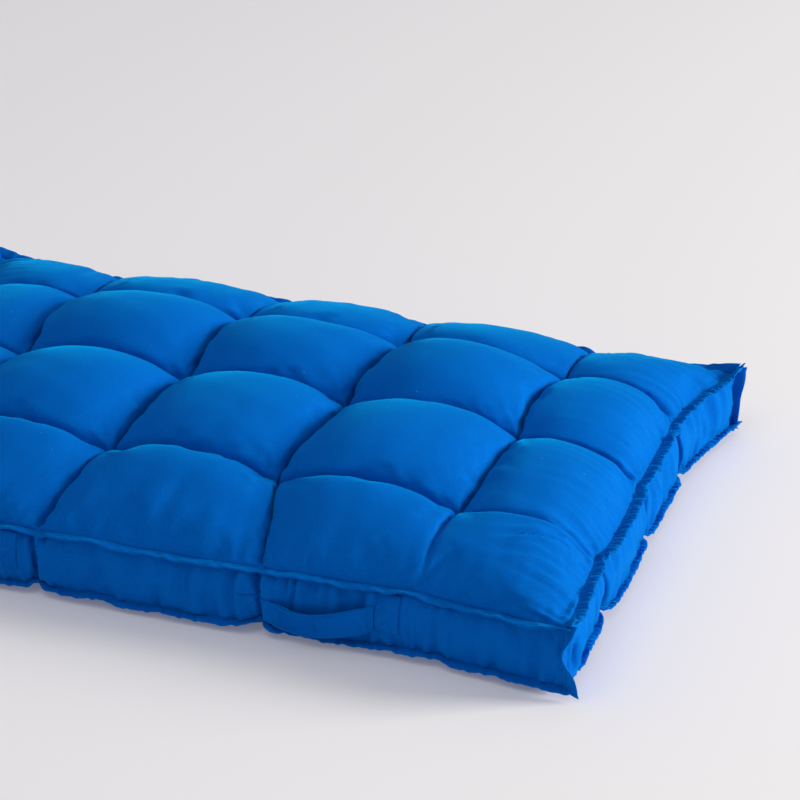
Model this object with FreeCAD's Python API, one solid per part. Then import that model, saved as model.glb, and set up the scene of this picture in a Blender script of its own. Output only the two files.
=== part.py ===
import FreeCAD, Part
import math
import os
from FreeCAD import Vector

# Tufted box-edge futon mattress. Origin: middle of the underside, on the floor.
# +X runs along the length, +Y across the width, +Z up. Millimetres.

# ---- driving dimensions ----
length = 1200.0            # over the edge flanges
width = 800.0              # over the edge flanges
flange_width = 14.0        # raised seam flange
flange_thick = 2.4         # two folded layers of cotton
panel_thick = 2.0          # quilted cotton ticking
gap = 0.3                  # clearance between neighbouring soft pieces

seam_low = 13.0            # height of the bottom seam
seam_high = 93.0           # height of the top seam
wall_bulge = 5.0           # how far a side wall swells at mid height

tuft_columns = [-344.0, -100.0, 144.0, 388.0]
tuft_rows = [-218.0, 6.0, 208.0]
tuft_height = 85.0         # top panel at a tuft
column_rise = 25.0         # crease that runs across, between two tufts
row_rise = 65.0            # crease that runs along, between two tufts
crown_rise = 105.0         # pillow with tufts at all four corners
edge_crown_rise = 50.0     # pillow beside a seam

dimple_radius = 45.0       # hollow under each tuft
dimple_peak = 34.0
flat_margin = 44.0         # width of the rounded skirt round the underside
core_low = 42.3
core_high = 75.0

twine_radius = 1.5
knot_radius = 3.5
hole_radius = 2.2

strap_width = 38.0
strap_thick = 2.5
strap_end = 34.0           # sewn length at each end of a strap
strap_span = 148.8         # free length between the sewn ends, measured straight
strap_bulge = 16.0         # slack that stands out from the wall
strap_middle_x = 261.0
strap_middle_z = 48.5
strap_tilt = 4.0           # degrees, the end nearer the corner is higher

# ---- derived ----
half = math.sqrt(0.5)
seam_reach = flange_thick / 2 + (flange_width + flange_thick / 2) * half
seam_x = length / 2 - seam_reach
seam_y = width / 2 - seam_reach
wall_low = seam_low + panel_thick + gap
wall_high = seam_high - panel_thick - gap
wall_middle = (wall_low + wall_high) / 2
wall_half = (wall_high - wall_low) / 2
wall_radius = (wall_half ** 2 + wall_bulge ** 2) / (2 * wall_bulge)
fill_x = seam_x - panel_thick - 2 * gap
fill_y = seam_y - panel_thick - 2 * gap

os.makedirs("parts", exist_ok=True)


def save(name, shape):
    if not shape.isValid():
        raise RuntimeError(name + " is not a valid solid")
    shape.exportStep("parts/" + name + ".step")
    print(name, round(shape.Volume / 1000.0, 1), "cm3", len(shape.Solids), "solid")


def box(low, high):
    size = Vector(*high) - Vector(*low)
    return Part.makeBox(size.x, size.y, size.z, Vector(*low))


def tufts():
    return [(x, y) for x in tuft_columns for y in tuft_rows]


# ---- top surface ----

def dome(s):
    return 1.0 - s * s


def cell(value, lines):
    for i in range(len(lines) - 1):
        if value <= lines[i + 1] or i == len(lines) - 2:
            share = (value - lines[i]) / (lines[i + 1] - lines[i])
            return i, min(max(share, 0.0), 1.0)


def top_height(x, y):
    xs = [-seam_x] + tuft_columns + [seam_x]
    ys = [-seam_y] + tuft_rows + [seam_y]
    i, p = cell(x, xs)
    j, q = cell(y, ys)

    def corner(ii, jj):
        on_seam = ii in (0, len(xs) - 1) or jj in (0, len(ys) - 1)
        return seam_high if on_seam else tuft_height

    base = corner(i, j) * (1 - p) * (1 - q) + corner(i + 1, j) * p * (1 - q)
    base += corner(i, j + 1) * (1 - p) * q + corner(i + 1, j + 1) * p * q
    across = dome(2 * p - 1)
    along = dome(2 * q - 1)
    first_x, last_x = i == 0, i == len(xs) - 2
    first_y, last_y = j == 0, j == len(ys) - 2
    fade_x = p if first_x else (1 - p if last_x else 1.0)
    fade_y = q if first_y else (1 - q if last_y else 1.0)
    beside_seam = first_x or last_x or first_y or last_y
    crown = edge_crown_rise if beside_seam else crown_rise
    rise = column_rise * fade_x * along * (1 - across)
    rise += row_rise * fade_y * across * (1 - along)
    return base + rise + crown * across * along


def stations(lines, steps):
    out = [lines[0]]
    for a, b in zip(lines, lines[1:]):
        out += [a + (b - a) * (k + 1) / steps for k in range(steps)]
    return out


def top_face(reach_x, reach_y, drop):
    xs = stations([-reach_x] + tuft_columns + [reach_x], 10)
    ys = stations([-reach_y] + tuft_rows + [reach_y], 8)
    points = [[Vector(x, y, top_height(x, y) - drop) for y in ys] for x in xs]
    surface = Part.BSplineSurface()
    surface.interpolate(points)
    return surface.toShape()


def twine_holes(low, high):
    tall = high - low
    return [Part.makeCylinder(hole_radius, tall, Vector(x, y, low)) for x, y in tufts()]


def make_top_panel():
    panel = top_face(seam_x, seam_y, 0.0).extrude(Vector(0, 0, -panel_thick))
    return panel.cut(twine_holes(tuft_height - 20, tuft_height + 20))


def make_upper_batting():
    under = top_face(fill_x, fill_y, panel_thick + gap).extrude(Vector(0, 0, -200))
    keep = box((-width, -width, core_high + gap), (width, width, 300))
    return under.common(keep).cut(twine_holes(core_high - 5, tuft_height + 20))


# ---- underside ----

def above_underside(lift):
    rim = [Vector(-seam_x, -seam_y, seam_low), Vector(seam_x, -seam_y, seam_low),
           Vector(seam_x, seam_y, seam_low), Vector(-seam_x, seam_y, seam_low)]
    inner_x, inner_y = seam_x - flat_margin, seam_y - flat_margin
    floor = [Vector(-inner_x, -inner_y, 0), Vector(inner_x, -inner_y, 0),
             Vector(inner_x, inner_y, 0), Vector(-inner_x, inner_y, 0)]
    pan = Part.makeLoft([Part.makePolygon(floor + floor[:1]), Part.makePolygon(rim + rim[:1])],
                        True, True)
    body = pan.fuse(box((-seam_x, -seam_y, seam_low), (seam_x, seam_y, core_high)))
    cones = [Part.makeCone(dimple_radius, hole_radius * 2, dimple_peak, Vector(x, y, 0))
             for x, y in tufts()]
    solid = body.cut(cones)
    solid.translate(Vector(0, 0, lift))
    return solid


def make_bottom_panel():
    panel = above_underside(0.0).cut(above_underside(panel_thick))
    return panel.cut(twine_holes(0, core_low))


def make_lower_batting():
    keep = box((-fill_x, -fill_y, 0), (fill_x, fill_y, core_low - gap))
    layer = above_underside(panel_thick + gap).common(keep)
    return layer.cut(twine_holes(0, core_low + 5))


def make_core():
    core = box((-fill_x, -fill_y, core_low), (fill_x, fill_y, core_high))
    return core.cut(twine_holes(core_low - 5, core_high + 5))


# ---- side walls and what is sewn on them ----

def wall_out(side_half, radius, z):
    middle = side_half + wall_bulge - wall_radius
    return middle + math.sqrt(radius ** 2 - (z - wall_middle) ** 2)


def curved_slab(side_half, inside, outside, low, high, start, end):
    """A slab parallel to the swollen wall, running along X on the -Y side."""
    def at(radius, z):
        return Vector(start, -wall_out(side_half, radius, z), z)

    def arc(radius):
        return Part.Arc(at(radius, low), at(radius, (low + high) / 2), at(radius, high)).toShape()

    near, far = wall_radius + inside, wall_radius + outside
    edges = [arc(near), Part.makeLine(at(near, high), at(far, high)),
             arc(far), Part.makeLine(at(far, low), at(near, low))]
    face = Part.Face(Part.Wire(Part.__sortEdges__(edges)))
    return face.extrude(Vector(end - start, 0, 0))


def strip(side_half, seam_z, up, start, end):
    """A flange strip that leaves the seam at 45 degrees, on the -Y side."""
    offset = flange_thick / 2
    along = Vector(0, -half, up * half)
    thick = Vector(0, half, up * half) * offset
    root = Vector(start, -side_half - offset, seam_z + up * offset)
    tip = root + along * flange_width
    corners = [root + thick, root - thick, tip - thick, tip + thick]
    face = Part.Face(Part.makePolygon(corners + corners[:1]))
    return face.extrude(Vector(end - start, 0, 0))


def turned(shape, degrees):
    copy = shape.copy()
    copy.rotate(Vector(0, 0, 0), Vector(0, 0, 1), degrees)
    return copy


def make_sides():
    clear = panel_thick + gap
    sides = [("front", seam_y, seam_x, 0), ("right", seam_x, seam_y - clear, 90),
             ("back", seam_y, seam_x, 180), ("left", seam_x, seam_y - clear, 270)]
    for name, side_half, run, degrees in sides:
        wall = curved_slab(side_half, -panel_thick, 0.0, wall_low, wall_high, -run, run)
        save(name + "_border", turned(wall, degrees))
        reach = length / 2 if run == seam_x else seam_y - gap / 3
        top = strip(side_half, seam_high, 1, -reach, reach)
        low = strip(side_half, seam_low, -1, -reach, reach)
        save(name + "_top_flange", turned(top, degrees))
        save(name + "_bottom_flange", turned(low, degrees))


def make_corner_flanges():
    offset = flange_thick / 2
    rise = seam_high - seam_low - 2 * gap
    for x_name, sx in (("right", 1), ("left", -1)):
        for y_name, sy in (("front", -1), ("back", 1)):
            along = Vector(sx * half, sy * half, 0)
            thick = Vector(-sx * half, sy * half, 0) * offset
            root = Vector(sx * (seam_x + offset), sy * (seam_y + offset), seam_low + gap)
            tip = root + along * flange_width
            corners = [root + thick, root - thick, tip - thick, tip + thick]
            face = Part.Face(Part.makePolygon(corners + corners[:1]))
            save(y_name + "_" + x_name + "_corner_flange", face.extrude(Vector(0, 0, rise)))


# ---- carry handles ----

def strap_anchor():
    """Distance of the strap's centre line from the middle plane at its sewn ends."""
    return seam_y + wall_bulge + gap + strap_thick / 2


def make_strap():
    near = strap_anchor()
    reach = strap_span / 2 - strap_width / 2 * math.sin(math.radians(strap_tilt)) - gap
    a = Vector(-reach, -near, 0)
    b = Vector(reach, -near, 0)
    middle = Vector(0, -near - strap_bulge, 0)

    def arc(shift):
        move = Vector(0, -shift, 0)
        return Part.Arc(a + move, middle + move, b + move).toShape()

    inner, outer = arc(-strap_thick / 2), arc(strap_thick / 2)
    ends = [Part.makeLine(inner.Vertexes[k].Point, outer.Vertexes[k].Point) for k in (0, 1)]
    face = Part.Face(Part.Wire(Part.__sortEdges__([inner, outer] + ends)))
    band = face.extrude(Vector(0, 0, strap_width))
    band.translate(Vector(0, 0, -strap_width / 2))
    band.rotate(Vector(0, 0, 0), Vector(0, 1, 0), -strap_tilt)
    return band


def make_strap_end(side):
    inner = side * (strap_span / 2 + gap)
    outer = side * (strap_span / 2 + strap_end)
    drop = side * math.tan(math.radians(strap_tilt)) * (strap_span / 2 + strap_end / 2)
    z = strap_middle_z + drop
    low, high = z - strap_width / 2, z + strap_width / 2
    start, end = min(inner, outer), max(inner, outer)
    return curved_slab(seam_y, gap, gap + strap_thick, low, high, start, end)


def make_handles():
    for side_name, degrees in (("front", 0), ("back", 180)):
        for place, shift in (("right", strap_middle_x), ("left", -strap_middle_x)):
            if side_name == "back":
                shift = -shift
            name = side_name + "_" + place + "_handle"
            strap = make_strap()
            strap.translate(Vector(shift, 0, strap_middle_z))
            save(name + "_strap", turned(strap, degrees))
            for end_name, side in (("low", -1), ("high", 1)):
                end = make_strap_end(side)
                end.translate(Vector(shift, 0, 0))
                save(name + "_" + end_name + "_end", turned(end, degrees))


# ---- tufting twine ----

def make_tie(x, y):
    clear = knot_radius + gap
    low = dimple_peak - clear
    high = tuft_height + clear + 1.0
    twine = Part.makeCylinder(twine_radius, high - low, Vector(x, y, low))
    knots = [Part.makeSphere(knot_radius, Vector(x, y, z)) for z in (low, high)]
    return twine.fuse(knots)


def make_ties():
    for i, x in enumerate(tuft_columns):
        for j, y in enumerate(tuft_rows):
            save("tuft_tie_" + str(i + 1) + "_" + str(j + 1), make_tie(x, y))


save("top_panel", make_top_panel())
save("bottom_panel", make_bottom_panel())
save("upper_batting", make_upper_batting())
save("core_batting", make_core())
save("lower_batting", make_lower_batting())
make_sides()
make_corner_flanges()
make_handles()
make_ties()
print("seam outline", round(2 * seam_x, 1), "x", round(2 * seam_y, 1), "mm")
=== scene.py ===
import math
import random

import bmesh
import bpy
import numpy as np
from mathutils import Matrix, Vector
from mathutils.bvhtree import BVHTree


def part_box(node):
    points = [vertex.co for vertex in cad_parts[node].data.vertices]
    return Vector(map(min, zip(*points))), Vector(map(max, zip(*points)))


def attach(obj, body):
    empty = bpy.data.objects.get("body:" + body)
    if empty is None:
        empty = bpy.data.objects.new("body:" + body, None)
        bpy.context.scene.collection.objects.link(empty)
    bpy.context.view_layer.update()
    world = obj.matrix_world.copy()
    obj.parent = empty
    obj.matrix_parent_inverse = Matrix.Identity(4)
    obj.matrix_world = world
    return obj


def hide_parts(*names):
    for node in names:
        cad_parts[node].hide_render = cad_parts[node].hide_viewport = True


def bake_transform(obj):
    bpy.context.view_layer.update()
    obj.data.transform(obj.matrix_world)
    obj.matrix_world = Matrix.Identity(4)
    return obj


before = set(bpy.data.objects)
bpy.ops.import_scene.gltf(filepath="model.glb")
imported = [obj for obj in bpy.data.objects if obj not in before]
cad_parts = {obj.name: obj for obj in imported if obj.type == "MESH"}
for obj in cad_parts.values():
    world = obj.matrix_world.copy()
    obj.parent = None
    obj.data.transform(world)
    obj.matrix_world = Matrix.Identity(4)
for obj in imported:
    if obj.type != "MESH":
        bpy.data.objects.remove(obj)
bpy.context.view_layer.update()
bpy.ops.object.select_all(action="DESELECT")
print("frame loaded")

# ---- camera ----
camera = {
    "spot": (1.535, -3.420, 1.948),
    "azimuth": 20.968,
    "elevation": 25.962,
    "lens": 136.06,
}


def makeCamera():
    bpy.ops.object.camera_add(location=camera["spot"])
    eye = bpy.context.object
    eye.rotation_euler = (math.radians(90 - camera["elevation"]), 0, math.radians(camera["azimuth"]))
    eye.data.lens = camera["lens"]
    eye.data.clip_end = 60
    bpy.context.scene.camera = eye
    eye.select_set(False)


makeCamera()

# ---- places read from the frame ----
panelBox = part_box("top_panel")
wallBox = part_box("front_border")
tieBoxes = [[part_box("tuft_tie_%d_%d" % (i, j)) for j in (1, 2, 3)] for i in (1, 2, 3, 4)]
halfLength = panelBox[1].x                 # seam line, half the length
halfWidth = panelBox[1].y
seamGap = 0.0023                           # panel thickness and the clearance under it
topSeam = wallBox[1].z + seamGap
lowSeam = wallBox[0].z - seamGap
tuftX = [(low.x + high.x) / 2 for low, high in (row[0] for row in tieBoxes)]
tuftY = [(low.y + high.y) / 2 for low, high in tieBoxes[0]]
tuftZ = tieBoxes[0][0][1].z - 0.0048       # top cloth at a tuft
columnLines = np.array([-halfLength] + tuftX + [halfLength])
rowLines = np.array([-halfWidth] + tuftY + [halfWidth])

cover = {
    "pitch": 0.0085,         # cloth grid
    "crowd": 0.62,           # how much the grid crowds towards the creases
    "columnRise": 0.054,     # crease across, between two tufts
    "rowRise": 0.062,        # crease along, between two tufts
    "crown": 0.036,
    "edgeCrown": 0.022,
    "edgeLean": 0.95,        # how the edge pillows climb from the seam
    "swell": 2.2,            # how square the creases rise from a tuft
    "roundAcross": 0.72,     # how softly the pillows rise from a crease
    "roundAlong": 0.62,
    "pinchAt": 0.009,        # distance from a crease where the pillows lean together most
    "pinch": 0.74,
    "wander": 0.006,         # how far the creases stray from straight lines
    "thickness": 0.0016,
}

# how far each seam pulls in from its straight line, at places along it
pullRight = [(-0.388, -0.001), (-0.323, 0.006), (-0.28, 0.011), (-0.218, 0.017), (-0.142, 0.016),
             (-0.042, 0.022), (0.05, 0.030), (0.15, 0.034), (0.24, 0.036), (0.30, 0.028), (0.345, 0.014),
             (0.388, 0.001)]
pullLeft = [(-0.388, 0.002), (-0.31, 0.015), (-0.218, 0.026), (-0.1, 0.020), (0.0, 0.025), (0.11, 0.019),
            (0.208, 0.024), (0.32, 0.012), (0.388, 0.0)]
pullFront = [(-0.588, 0.0), (-0.45, 0.010), (-0.344, 0.014), (-0.23, 0.004), (-0.129, 0.0), (0.03, 0.003),
             (0.10, 0.006), (0.18, 0.012), (0.30, 0.018), (0.37, 0.020), (0.43, 0.017), (0.50, 0.009),
             (0.588, -0.001)]
pullBack = [(-0.588, 0.0), (-0.47, 0.012), (-0.344, 0.020), (-0.22, 0.010), (-0.10, 0.014), (0.02, 0.008),
            (0.144, 0.013), (0.27, 0.009), (0.388, 0.018), (0.48, 0.013), (0.588, 0.002)]


def through(points, places):
    xs, vs = np.array(points).T
    slopes = np.gradient(vs, xs)
    i = np.clip(np.searchsorted(xs, places) - 1, 0, len(xs) - 2)
    gap = xs[i + 1] - xs[i]
    t = np.clip((places - xs[i]) / gap, 0, 1)
    return ((2 * t**3 - 3 * t**2 + 1) * vs[i] + (t**3 - 2 * t**2 + t) * gap * slopes[i]
            + (3 * t**2 - 2 * t**3) * vs[i + 1] + (t**3 - t**2) * gap * slopes[i + 1])


def wobble(places, wavelength, seed, octaves=4):
    draw = random.Random(seed)
    total, weight = 0.0, 0.0
    for k in range(octaves):
        turns = 2 * math.pi / wavelength * 1.57**k * draw.uniform(0.85, 1.2)
        total = total + np.sin(np.asarray(places) * turns + draw.uniform(0, 6.28)) / 1.4**k
        weight += 1 / 1.4**k
    return total / weight * 1.5


def drift(x, y, wavelength, seed, waves=9):
    draw = random.Random(seed)
    total = 0.0
    for k in range(waves):
        angle = draw.uniform(0, 2 * math.pi)
        turns = 2 * math.pi / (wavelength * draw.uniform(0.7, 1.5))
        total = total + np.sin((x * math.cos(angle) + y * math.sin(angle)) * turns + draw.uniform(0, 6.28))
    return total / math.sqrt(waves)


def bump(places, middle, width):
    return np.exp(-(((places - middle) / width) ** 2))


def ease(t):
    t = np.clip(t, 0, 1)
    return t * t * (3 - 2 * t)


def gapTo(places, lines):
    return np.min(np.abs(places[..., None] - lines), axis=-1)


def stations(lines, pitch, crowd):
    places = [lines[0]]
    for a, b in zip(lines, lines[1:]):
        steps = max(4, round((b - a) / pitch))
        for k in range(1, steps + 1):
            share = k / steps
            places.append(a + (b - a) * (share - crowd * math.sin(2 * math.pi * share) / (2 * math.pi)))
    return np.array(places)


def cell(places, lines):
    i = np.clip(np.searchsorted(lines, places, side="right") - 1, 0, len(lines) - 2)
    return i, np.clip((places - lines[i]) / (lines[i + 1] - lines[i]), 0, 1)


def edgeShares(x, y):
    endFrom = np.where(x > 0, tuftX[-1], -tuftX[0])
    sideFrom = np.where(y > 0, tuftY[-1], -tuftY[0])
    endShare = np.clip((np.abs(x) - endFrom) / (halfLength - endFrom), 0, 1)
    sideShare = np.clip((np.abs(y) - sideFrom) / (halfWidth - sideFrom), 0, 1)
    return endShare, sideShare


# creases that bend before they reach a side seam: tuft column, side, shift at the seam
creaseBends = [(2, -1, 0.036), (1, -1, -0.030), (0, -1, 0.012),
               (1, 1, 0.014), (2, 1, -0.012), (0, 1, -0.016)]
notchSpots = {
    "front": [(tuftX[0], 1.0), (tuftX[1], 0.8), (tuftX[2], 1.0), (tuftX[3] + 0.03, 0.25)],
    "back": [(tuftX[0], 0.8), (tuftX[1], 0.6), (tuftX[2], 0.9), (tuftX[3], 0.7)],
    "right": [(tuftY[0] + 0.016, 1.0), (tuftY[1] + 0.004, 1.0), (tuftY[2] - 0.01, 0.8)],
    "left": [(tuftY[0], 0.8), (tuftY[1], 1.0), (tuftY[2], 0.8)],
}


# pillows lean over the crease between them, so that it closes to a slit
def leaning(places, lines, strength):
    nearest = lines[1:-1][np.argmin(np.abs(places[..., None] - lines[1:-1]), axis=-1)]
    d = places - nearest
    return -d * strength * bump(np.abs(d), cover["pinchAt"], 0.010)


def creaseShift(x, y):
    endShare, sideShare = edgeShares(x, y)
    shift = cover["wander"] * drift(x, y, 0.26, 3) * (1 - endShare) * (1 - sideShare)
    for column, side, reach in creaseBends:
        near = bump(x, tuftX[column], 0.085) * np.where(np.sign(y) == side, sideShare, 0)
        shift = shift + reach * near
    return shift


def rowShift(x, y):
    endShare, sideShare = edgeShares(x, y)
    return cover["wander"] * drift(x, y, 0.24, 8) * (1 - endShare) * (1 - sideShare)


# the last column's crease dies out towards the front, and the first row's towards the right end
def fadingColumn(x, y):
    endShare, sideShare = edgeShares(x, y)
    return np.where((x > tuftX[2] + 0.12) & (y < 0), 0.85 * sideShare**0.5, 0) * (1 - endShare)


def fadingRow(x, y):
    endShare, sideShare = edgeShares(x, y)
    firstRow = (x > 0) & (y < tuftY[0] + 0.11)
    return np.where(firstRow, 0.9 * endShare**0.55, 0.3 * endShare) * (1 - sideShare)


# where a point of the flat cover lies once the seams have pulled in
# level is 1 on the top seam and 0 on the low one
def plan(x, y, level=1.0):
    endShare, sideShare = edgeShares(x, y)
    endPull = np.where(x > 0, through(pullRight, y), through(pullLeft, y))
    sidePull = np.where(y > 0, through(pullBack, x), through(pullFront, x))
    endPull = endPull * (0.78 + 0.22 * level)
    sidePull = sidePull * (0.85 + 0.15 * level)
    px, py = x + creaseShift(x, y), y + rowShift(x, y)
    sharp = 0.0045 + 0.005 * (1 - level)
    wide = 0.016 - 0.003 * (1 - level)
    for side, sign in (("front", -1), ("back", 1), ("right", 1), ("left", -1)):
        across = side in ("right", "left")
        along, off = (y, x) if across else (x, y)
        for spot, depth in notchSpots[side]:
            notch = np.where(off * sign > 0, sharp * depth * bump(along, spot, wide), 0)
            endPull, sidePull = endPull + notch * across, sidePull + notch * (not across)
    columnPinch = cover["pinch"] * level * (1 - 0.9 * fadingColumn(x, y))
    rowPinch = 0.7 * cover["pinch"] * level * (1 - 0.9 * fadingRow(x, y)) * (1 - endShare**5)
    px = px + leaning(x, columnLines, columnPinch * (1 - sideShare**8))
    py = py + leaning(y, rowLines, rowPinch)
    px = px - np.sign(x) * endPull * endShare**1.4
    py = py - np.sign(y) * sidePull * sideShare**1.4
    return px, py


def seamHeight(side, along, level):
    reach = halfLength if side in ("front", "back") else halfWidth
    inner = ease((reach - np.abs(along)) / 0.05)
    rise = 0.0016 * wobble(along, 0.21, len(side) + 11)
    for spot, depth in notchSpots[side]:
        rise = rise + (0.007 * (1 - level) - 0.003 * level) * depth * bump(along, spot, 0.016)
    base = topSeam * level + lowSeam * (1 - level)
    return base + rise * inner + 0.003 * level * (1 - inner)


def swell(share, softness=0.5):
    return (1 - np.abs(2 * share - 1) ** cover["swell"]) ** softness


def topHeight(x, y):
    i, p = cell(x, columnLines)
    j, q = cell(y, rowLines)
    lastI, lastJ = len(columnLines) - 2, len(rowLines) - 2
    fadeX = np.where(i == 0, p, np.where(i == lastI, 1 - p, 1.0))
    fadeY = np.where(j == 0, q, np.where(j == lastJ, 1 - q, 1.0))
    edge = (i == 0) | (i == lastI) | (j == 0) | (j == lastJ)
    endShare, sideShare = edgeShares(x, y)
    base = tuftZ + (topSeam - tuftZ) * np.maximum(endShare, sideShare)
    lessColumn, lessRow = 1 - fadingColumn(x, y), 1 - fadingRow(x, y)
    openAcross, openAlong = 1 - (1 - swell(p)) * lessColumn, 1 - (1 - swell(q)) * lessRow
    softAcross = 1 - (1 - swell(p, cover["roundAcross"])) * lessColumn
    softness = np.where(j == 0, 0.45, cover["roundAlong"])
    softAlong = 1 - (1 - swell(q, softness)) * lessRow
    column = cover["columnRise"] * fadeX * fadeY**0.7 * openAlong * (1 - openAcross)
    row = cover["rowRise"] * np.minimum(fadeX, 1) ** 0.8 * fadeY ** cover["edgeLean"] * openAcross
    crown = np.where(edge, cover["edgeCrown"] + 0.016 * endShare * (1 - sideShare), cover["crown"])
    lump = 0.004 * drift(x, y, 0.42, 21) * openAcross * openAlong * (1 - endShare) * (1 - sideShare)
    return base + column + row + crown * softAcross * softAlong + lump


def upsampled(values):
    for axis in (0, 1):
        v = np.moveaxis(values, axis, 0)
        padded = np.concatenate([2 * v[:1] - v[1:2], v, 2 * v[-1:] - v[-2:-1]])
        middle = (9 * (padded[1:-2] + padded[2:-1]) - padded[:-3] - padded[3:]) / 16
        out = np.empty((2 * len(v) - 1,) + v.shape[1:])
        out[0::2], out[1::2] = v, middle
        values = np.moveaxis(out, 0, axis)
    return values


def normalsOf(grid):
    along, across = np.gradient(grid, axis=0), np.gradient(grid, axis=1)
    n = np.cross(along, across)
    return n / np.maximum(np.linalg.norm(n, axis=2, keepdims=True), 1e-12)


def gridFaces(rows, columns, first=0):
    index = np.arange(rows * columns).reshape(rows, columns) + first
    corners = [index[:-1, :-1], index[1:, :-1], index[1:, 1:], index[:-1, 1:]]
    return np.stack(corners, axis=-1).reshape(-1, 4)


def meshPiece(name, points, faces, flats=None, materials=(), kinds=None, facingOut=False):
    mesh = bpy.data.meshes.new(name)
    mesh.from_pydata(points, [], faces)
    if flats is not None:
        mesh.uv_layers.new(name="flat").data.foreach_set("uv", flats)
    for material in materials:
        mesh.materials.append(material)
    if kinds is not None:
        mesh.polygons.foreach_set("material_index", kinds)
    if facingOut:
        work = bmesh.new()
        work.from_mesh(mesh)
        bmesh.ops.recalc_face_normals(work, faces=work.faces)
        work.to_mesh(mesh)
        work.free()
    mesh.shade_smooth()
    piece = bpy.data.objects.new(name, mesh)
    bpy.context.scene.collection.objects.link(piece)
    return piece


def gridPiece(name, grid, flat, material):
    faces = gridFaces(*grid.shape[:2])
    flats = flat.reshape(-1, 2)[faces.reshape(-1)].reshape(-1).astype(np.float32)
    return meshPiece(name, grid.reshape(-1, 3).tolist(), faces.tolist(), flats, [material])


def applied(piece, kind, **values):
    modifier = piece.modifiers.new(kind, kind)
    for key, value in values.items():
        setattr(modifier, key, value)
    bpy.context.view_layer.objects.active = piece
    piece.select_set(True)
    bpy.ops.object.modifier_apply(modifier=modifier.name)
    piece.select_set(False)


# ---- the cover as laid out, before it is blown up ----
sideFacts = {                # outward direction, the wall's half run
    "front": (Vector((0, -1, 0)), halfLength),
    "right": (Vector((1, 0, 0)), halfWidth),
    "back": (Vector((0, 1, 0)), halfLength),
    "left": (Vector((-1, 0, 0)), halfWidth),
}
xs = stations(columnLines, cover["pitch"], cover["crowd"])
ys = stations(rowLines, cover["pitch"], cover["crowd"])

wall = {
    "rows": 13,
    "bulge": 0.0085,
    "gather": 0.0034,
    "crease": 0.011,
    "thickness": 0.0016,
    "hollow": 0.016,
    "hollowRim": 0.005,
    "hollowIn": 0.022,       # the corner hollow: in from the corner, up from the low seam
    "hollowUp": 0.034,
    "drawn": 0.011,
    "drawnAt": 0.040,        # where the front wall is drawn in beside its right corner
    "drawnUp": 0.045,
}
# upright creases pressed into each wall: place along it, depth
wallCreases = {
    "front": [(0.146, 1.0), (0.118, 0.5), (0.070, 0.6), (0.205, 0.35), (0.315, 0.5), (-0.03, 0.5),
              (-0.10, 1.0), (-0.17, 0.4), (-0.26, 0.5), (-0.344, 0.9), (-0.43, 0.4), (0.44, 0.25),
              (0.52, 0.3)],
    "right": [(-0.20, 1.0), (-0.30, 0.5), (-0.10, 0.4), (0.01, 0.9), (0.06, 0.4), (0.13, 0.5),
              (0.20, 0.9), (0.29, 0.6)],
    "back": [(-0.344, 0.8), (-0.22, 0.4), (-0.10, 0.9), (0.03, 0.4), (0.144, 0.8), (0.30, 0.5),
             (0.388, 0.7)],
    "left": [(-0.21, 0.9), (-0.11, 0.5), (0.0, 0.9), (0.10, 0.4), (0.21, 0.8), (0.30, 0.4)],
}


def layTop():
    x, y = np.meshgrid(xs, ys, indexing="ij")
    px, py = plan(x, y)
    z = topHeight(x, y)
    z[:, 0], z[:, -1] = seamHeight("front", xs, 1), seamHeight("back", xs, 1)
    z[0, :], z[-1, :] = seamHeight("left", ys, 1), seamHeight("right", ys, 1)
    return np.stack([px, py, z], axis=-1), np.stack([x, y], axis=-1)


def sidePlaces(side, along):
    fixed = {"front": -halfWidth, "back": halfWidth, "right": halfLength, "left": -halfLength}[side]
    other = np.full_like(along, fixed)
    return (along, other) if side in ("front", "back") else (other, along)


def layWall(side):
    outward, reach = sideFacts[side]
    along = xs if side in ("front", "back") else ys
    if side in ("back", "left"):
        along = along[::-1]                # so that faces point outwards
    drop = np.linspace(0, 1, wall["rows"])
    s, t = np.meshgrid(along, drop, indexing="ij")
    x, y = sidePlaces(side, s)
    px, py = plan(x, y, 1 - t)
    z = seamHeight(side, s, 1.0) * (1 - t) + seamHeight(side, s, 0.0) * t
    inner = ease((reach - np.abs(s)) / 0.05)
    out = wall["bulge"] * (1 + 0.35 * wobble(s, 0.3, 5)) * np.sin(math.pi * t) ** 0.75 * inner
    grid = np.stack([px + outward.x * out, py + outward.y * out, z], axis=-1)
    tall = topSeam - lowSeam
    return grid[:, ::-1], np.stack([s, (1 - t) * tall], axis=-1)[:, ::-1]


def pinWeights(x, y):
    column, row = gapTo(x, columnLines), gapTo(y, rowLines)
    weight = 0.9 * (column < 1e-5) * (1 - fadingColumn(x, y))
    weight = np.maximum(weight, 0.6 * (row < 1e-5) * (1 - fadingRow(x, y)))
    weight = np.maximum(weight, 1.0 * (np.hypot(column, row) < 0.006))
    weight[0, :] = weight[-1, :] = weight[:, 0] = weight[:, -1] = 1.0
    return weight


sim = {
    "frames": 22,
    "pressure": 9.0,
    "growth": -0.016,
    "topReach": 0.013,       # how far the cloth may move from where it was laid
    "creaseReach": 0.0014,   # the same beside a crease
    "wallReach": 0.007,
}


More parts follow.
